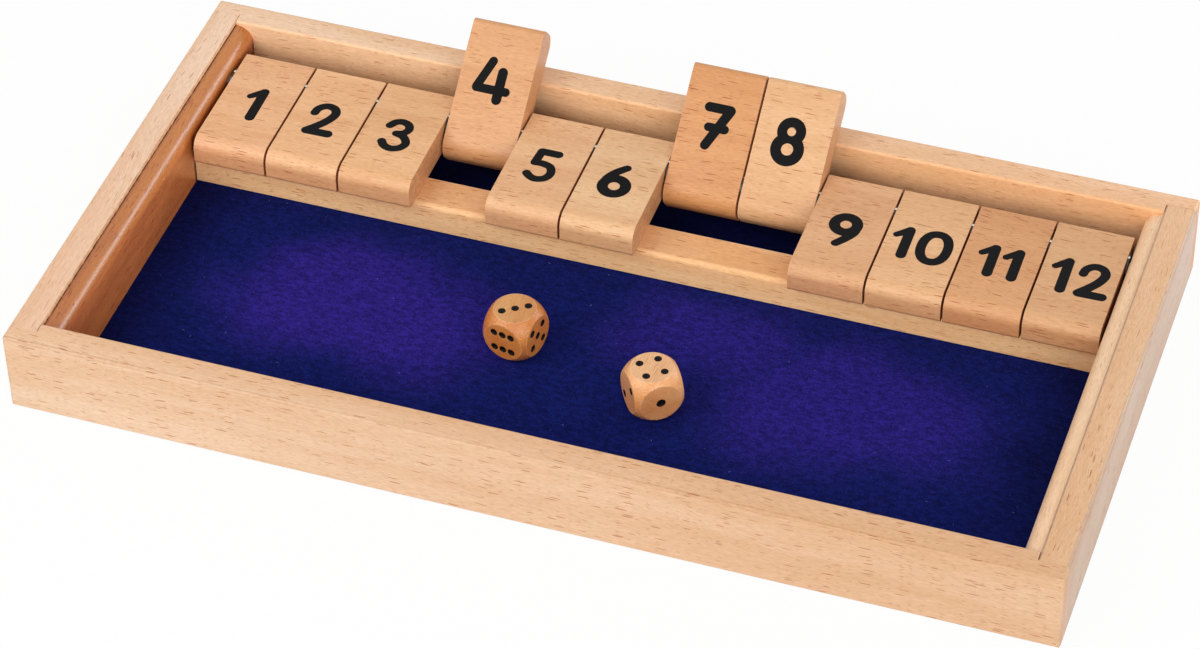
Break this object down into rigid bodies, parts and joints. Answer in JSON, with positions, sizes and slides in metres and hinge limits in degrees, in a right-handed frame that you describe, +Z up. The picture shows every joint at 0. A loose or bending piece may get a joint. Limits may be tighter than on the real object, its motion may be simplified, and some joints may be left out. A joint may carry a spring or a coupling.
{
  "type": "shut the box game",
  "caption": "Open wooden tray game with a felt floor, a row of numbered tiles hinged on a steel rod so that they lie level or lean back, and loose dice.",
  "frame": {"origin": "middle of the tray's underside", "axes": "+X along the row of tiles, in the order of their numbers; +Y from the player's side to the back rail; +Z up out of the tray"},
  "size_m": [0.345, 0.1811, 0.0474],
  "materials": {
    "frame_beech": "satin clear-lacquered beech with short brown flecks along the grain",
    "tile_beech": "satin clear-lacquered beech with a printed black number on both faces",
    "dice_beech": "gloss-varnished beech with black drilled pips",
    "floor_plywood": "bare thin plywood",
    "blue_felt": "short-napped blue violet felt",
    "rod_steel": "bright drawn steel rod and washers"
  },
  "bodies": {
    "tray": {"front_rail": "frame_beech", "back_rail": "frame_beech", "left_side": "frame_beech", "right_side": "frame_beech", "left_strip": "frame_beech", "right_strip": "frame_beech", "ledge": "frame_beech", "base_panel": "floor_plywood", "felt": "blue_felt", "hinge_rod": "rod_steel", "washer_1": "rod_steel", "washer_2": "rod_steel", "washer_3": "rod_steel", "washer_4": "rod_steel", "washer_5": "rod_steel", "washer_6": "rod_steel", "washer_7": "rod_steel", "washer_8": "rod_steel", "washer_9": "rod_steel", "washer_10": "rod_steel", "washer_11": "rod_steel", "washer_12": "rod_steel", "washer_13": "rod_steel"},
    "tile_1": {"tile_1": "tile_beech"},
    "tile_2": {"tile_2": "tile_beech"},
    "tile_3": {"tile_3": "tile_beech"},
    "tile_4": {"tile_4": "tile_beech"},
    "tile_5": {"tile_5": "tile_beech"},
    "tile_6": {"tile_6": "tile_beech"},
    "tile_7": {"tile_7": "tile_beech"},
    "tile_8": {"tile_8": "tile_beech"},
    "tile_9": {"tile_9": "tile_beech"},
    "tile_10": {"tile_10": "tile_beech"},
    "tile_11": {"tile_11": "tile_beech"},
    "tile_12": {"tile_12": "tile_beech"},
    "die_1": {"die_1": "dice_beech"},
    "die_2": {"die_2": "dice_beech"}
  },
  "joints": [
    {"name": "tile_1_hinge", "type": "hinge", "parent": "tray", "child": "tile_1", "pos_m": [-0.14199, 0.06, 0.02025], "axis": [-1, 0, 0], "range_deg": [0, 141.1]},
    {"name": "tile_2_hinge", "type": "hinge", "parent": "tray", "child": "tile_2", "pos_m": [-0.11607, 0.06, 0.02025], "axis": [-1, 0, 0], "range_deg": [0, 141.1]},
    {"name": "tile_3_hinge", "type": "hinge", "parent": "tray", "child": "tile_3", "pos_m": [-0.09015, 0.06, 0.02025], "axis": [-1, 0, 0], "range_deg": [0, 141.1]},
    {"name": "tile_4_hinge", "type": "hinge", "parent": "tray", "child": "tile_4", "pos_m": [-0.06423, 0.06, 0.02025], "axis": [-1, 0, 0], "range_deg": [-141.1, 0]},
    {"name": "tile_5_hinge", "type": "hinge", "parent": "tray", "child": "tile_5", "pos_m": [-0.03831, 0.06, 0.02025], "axis": [-1, 0, 0], "range_deg": [0, 141.1]},
    {"name": "tile_6_hinge", "type": "hinge", "parent": "tray", "child": "tile_6", "pos_m": [-0.01239, 0.06, 0.02025], "axis": [-1, 0, 0], "range_deg": [0, 141.1]},
    {"name": "tile_7_hinge", "type": "hinge", "parent": "tray", "child": "tile_7", "pos_m": [0.01353, 0.06, 0.02025], "axis": [-1, 0, 0], "range_deg": [-141.1, 0]},
    {"name": "tile_8_hinge", "type": "hinge", "parent": "tray", "child": "tile_8", "pos_m": [0.03945, 0.06, 0.02025], "axis": [-1, 0, 0], "range_deg": [-141.1, 0]},
    {"name": "tile_9_hinge", "type": "hinge", "parent": "tray", "child": "tile_9", "pos_m": [0.06537, 0.06, 0.02025], "axis": [-1, 0, 0], "range_deg": [0, 141.1]},
    {"name": "tile_10_hinge", "type": "hinge", "parent": "tray", "child": "tile_10", "pos_m": [0.09129, 0.06, 0.02025], "axis": [-1, 0, 0], "range_deg": [0, 141.1]},
    {"name": "tile_11_hinge", "type": "hinge", "parent": "tray", "child": "tile_11", "pos_m": [0.11721, 0.06, 0.02025], "axis": [-1, 0, 0], "range_deg": [0, 141.1]},
    {"name": "tile_12_hinge", "type": "hinge", "parent": "tray", "child": "tile_12", "pos_m": [0.14313, 0.06, 0.02025], "axis": [-1, 0, 0], "range_deg": [0, 141.1]},
    {"name": "die_1_lift", "type": "slide", "parent": "tray", "child": "die_1", "axis": [0, 0, 1], "range_m": [0, 0.06]},
    {"name": "die_2_lift", "type": "slide", "parent": "tray", "child": "die_2", "axis": [0, 0, 1], "range_m": [0, 0.06]}
  ]
}
